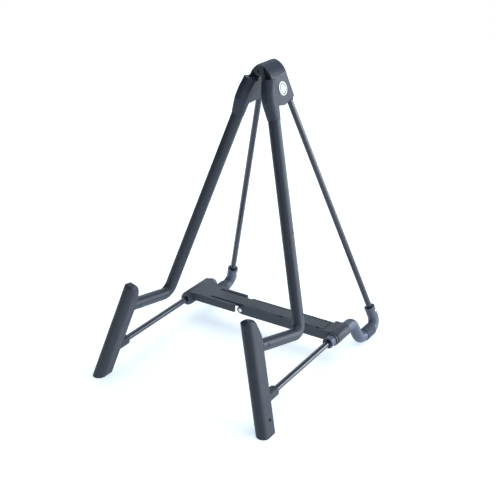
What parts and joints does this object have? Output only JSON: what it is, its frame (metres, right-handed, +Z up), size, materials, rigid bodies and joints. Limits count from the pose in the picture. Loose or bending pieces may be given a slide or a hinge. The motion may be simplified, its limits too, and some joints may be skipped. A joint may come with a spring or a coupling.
{
  "type": "folding instrument stand",
  "caption": "Folding A-frame instrument stand with cradle arms, upright front bars, rear rods, head hinge and a folding lever brace.",
  "frame": {"origin": "on the floor, under the middle of the open stand's box", "axes": "+Z up; -Y is the front, where the arms and bars are; +X is the right side frame's side, seen from behind the player's view as drawn"},
  "size_m": [0.2668, 0.3156, 0.3845],
  "materials": {
    "moulding": "satin moulded, fine spark-eroded grain",
    "badge": "blank white disc with a sunk ring",
    "core_steel": "drawn tube",
    "leg_sleeve": "smooth extruded sleeve",
    "bar_plastic": "soft-touch moulding",
    "black_steel": "black oxide",
    "rod_paint": "gloss black powder coat",
    "tube_coat": "satin black powder coat",
    "foot_rubber": "ribbed rubber",
    "bush_plastic": "moulded",
    "bright_steel": "zinc plated",
    "brace_plastic": "satin moulded"
  },
  "bodies": {
    "right_frame": {"right_head": "moulding", "right_badge": "badge", "right_leg_tube": "core_steel", "right_leg_sleeve": "leg_sleeve", "right_front_bar": "bar_plastic", "right_bar_screw": "black_steel", "right_lower_rod": "rod_paint", "right_rear_tube": "tube_coat", "right_foot_sleeve": "foot_rubber", "right_rod_bushes": "bush_plastic", "right_rear_rod": "rod_paint", "right_rear_rivet": "bright_steel", "right_stop_collar": "bush_plastic", "hinge_pin": "black_steel", "hinge_clip": "bright_steel"},
    "left_frame": {"left_head": "moulding", "left_badge": "badge", "left_leg_tube": "core_steel", "left_leg_sleeve": "leg_sleeve", "left_front_bar": "bar_plastic", "left_bar_screw": "black_steel", "left_lower_rod": "rod_paint", "left_rear_tube": "tube_coat", "left_foot_sleeve": "foot_rubber", "left_rod_bushes": "bush_plastic", "left_rear_rod": "rod_paint", "left_rear_rivet": "bright_steel", "left_stop_collar": "bush_plastic"},
    "lever": {"brace_lever": "brace_plastic"},
    "channel": {"brace_channel": "brace_plastic", "brace_rivets": "bright_steel"}
  },
  "joints": [
    {"name": "frame_fold", "type": "hinge", "parent": "right_frame", "child": "left_frame", "pos_m": [0, 0, 0.377], "axis": [0, -1, 0], "range_deg": [0, 20]},
    {"name": "lever_fold", "type": "hinge", "parent": "left_frame", "child": "lever", "pos_m": [-0.11338, 0, 0.03626], "axis": [0, -1, 0], "range_deg": [0, 88.46]},
    {"name": "channel_fold", "type": "hinge", "parent": "right_frame", "child": "channel", "pos_m": [0.11338, 0, 0.03626], "axis": [0, 1, 0], "range_deg": [0, 24.41]}
  ],
  "couplings": [
    {"joint": "lever_fold", "follows": "frame_fold", "ratio": 4.4207},
    {"joint": "channel_fold", "follows": "frame_fold", "ratio": 1.218}
  ]
}
